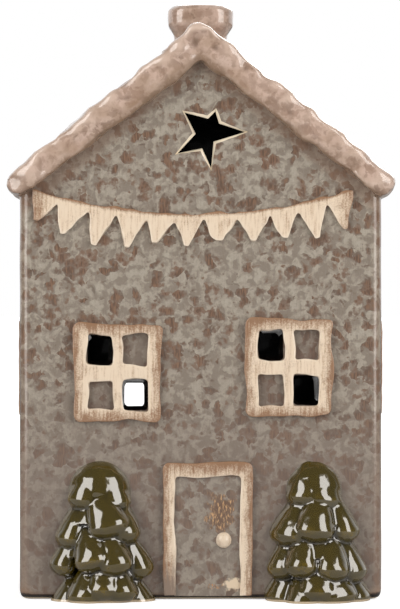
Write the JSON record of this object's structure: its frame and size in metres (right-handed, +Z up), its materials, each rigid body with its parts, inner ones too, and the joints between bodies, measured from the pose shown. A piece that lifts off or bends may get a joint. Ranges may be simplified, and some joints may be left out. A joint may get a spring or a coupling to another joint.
{
  "type": "tealight house",
  "caption": "Hollow glazed ceramic house for a tealight, with a tiled gable roof, chimney, star cut-out, bunting, framed windows, door and fir trees in relief, and an open back.",
  "frame": {"origin": "middle of the flat underside of the walls, on the surface the house stands on", "axes": "+Z up to the chimney, -Y out of the front with the door, +Y out of the open back, +X to the right of someone who faces the front"},
  "size_m": [0.1308, 0.1041, 0.2005],
  "materials": {
    "wall_glaze": "mottled grey reactive glaze with brown flecks, glossy",
    "roof_glaze": "speckled pinkish beige glaze, glossy",
    "cream_glaze": "brushed cream glaze, thin and brown at the edges, satin",
    "green_glaze": "thick olive green glaze, very glossy",
    "tealight_metal": "drawn thin sheet, satin",
    "tealight_wax": "white paraffin wax, soft sheen",
    "wick_cotton": "waxed braided cotton",
    "sustainer_steel": "tinned sheet"
  },
  "bodies": {
    "house": {"house_walls": "wall_glaze", "door_leaf": "wall_glaze", "roof_deck": "roof_glaze", "roof_tiles_left": "roof_glaze", "roof_tiles_right": "roof_glaze", "chimney": "roof_glaze", "bunting": "cream_glaze", "window_frame_left": "cream_glaze", "window_frame_right": "cream_glaze", "side_window_frame_left": "cream_glaze", "side_window_frame_right": "cream_glaze", "door_frame": "cream_glaze", "door_knob": "cream_glaze", "tree_left": "green_glaze", "tree_right": "green_glaze"},
    "tealight": {"tealight_cup": "tealight_metal", "tealight_wax": "tealight_wax", "tealight_wick": "wick_cotton", "wick_sustainer": "sustainer_steel"}
  },
  "joints": [
    {"name": "tealight_slide", "type": "slide", "parent": "house", "child": "tealight", "axis": [0, 1, 0], "range_m": [-0.017, 0.075]}
  ]
}
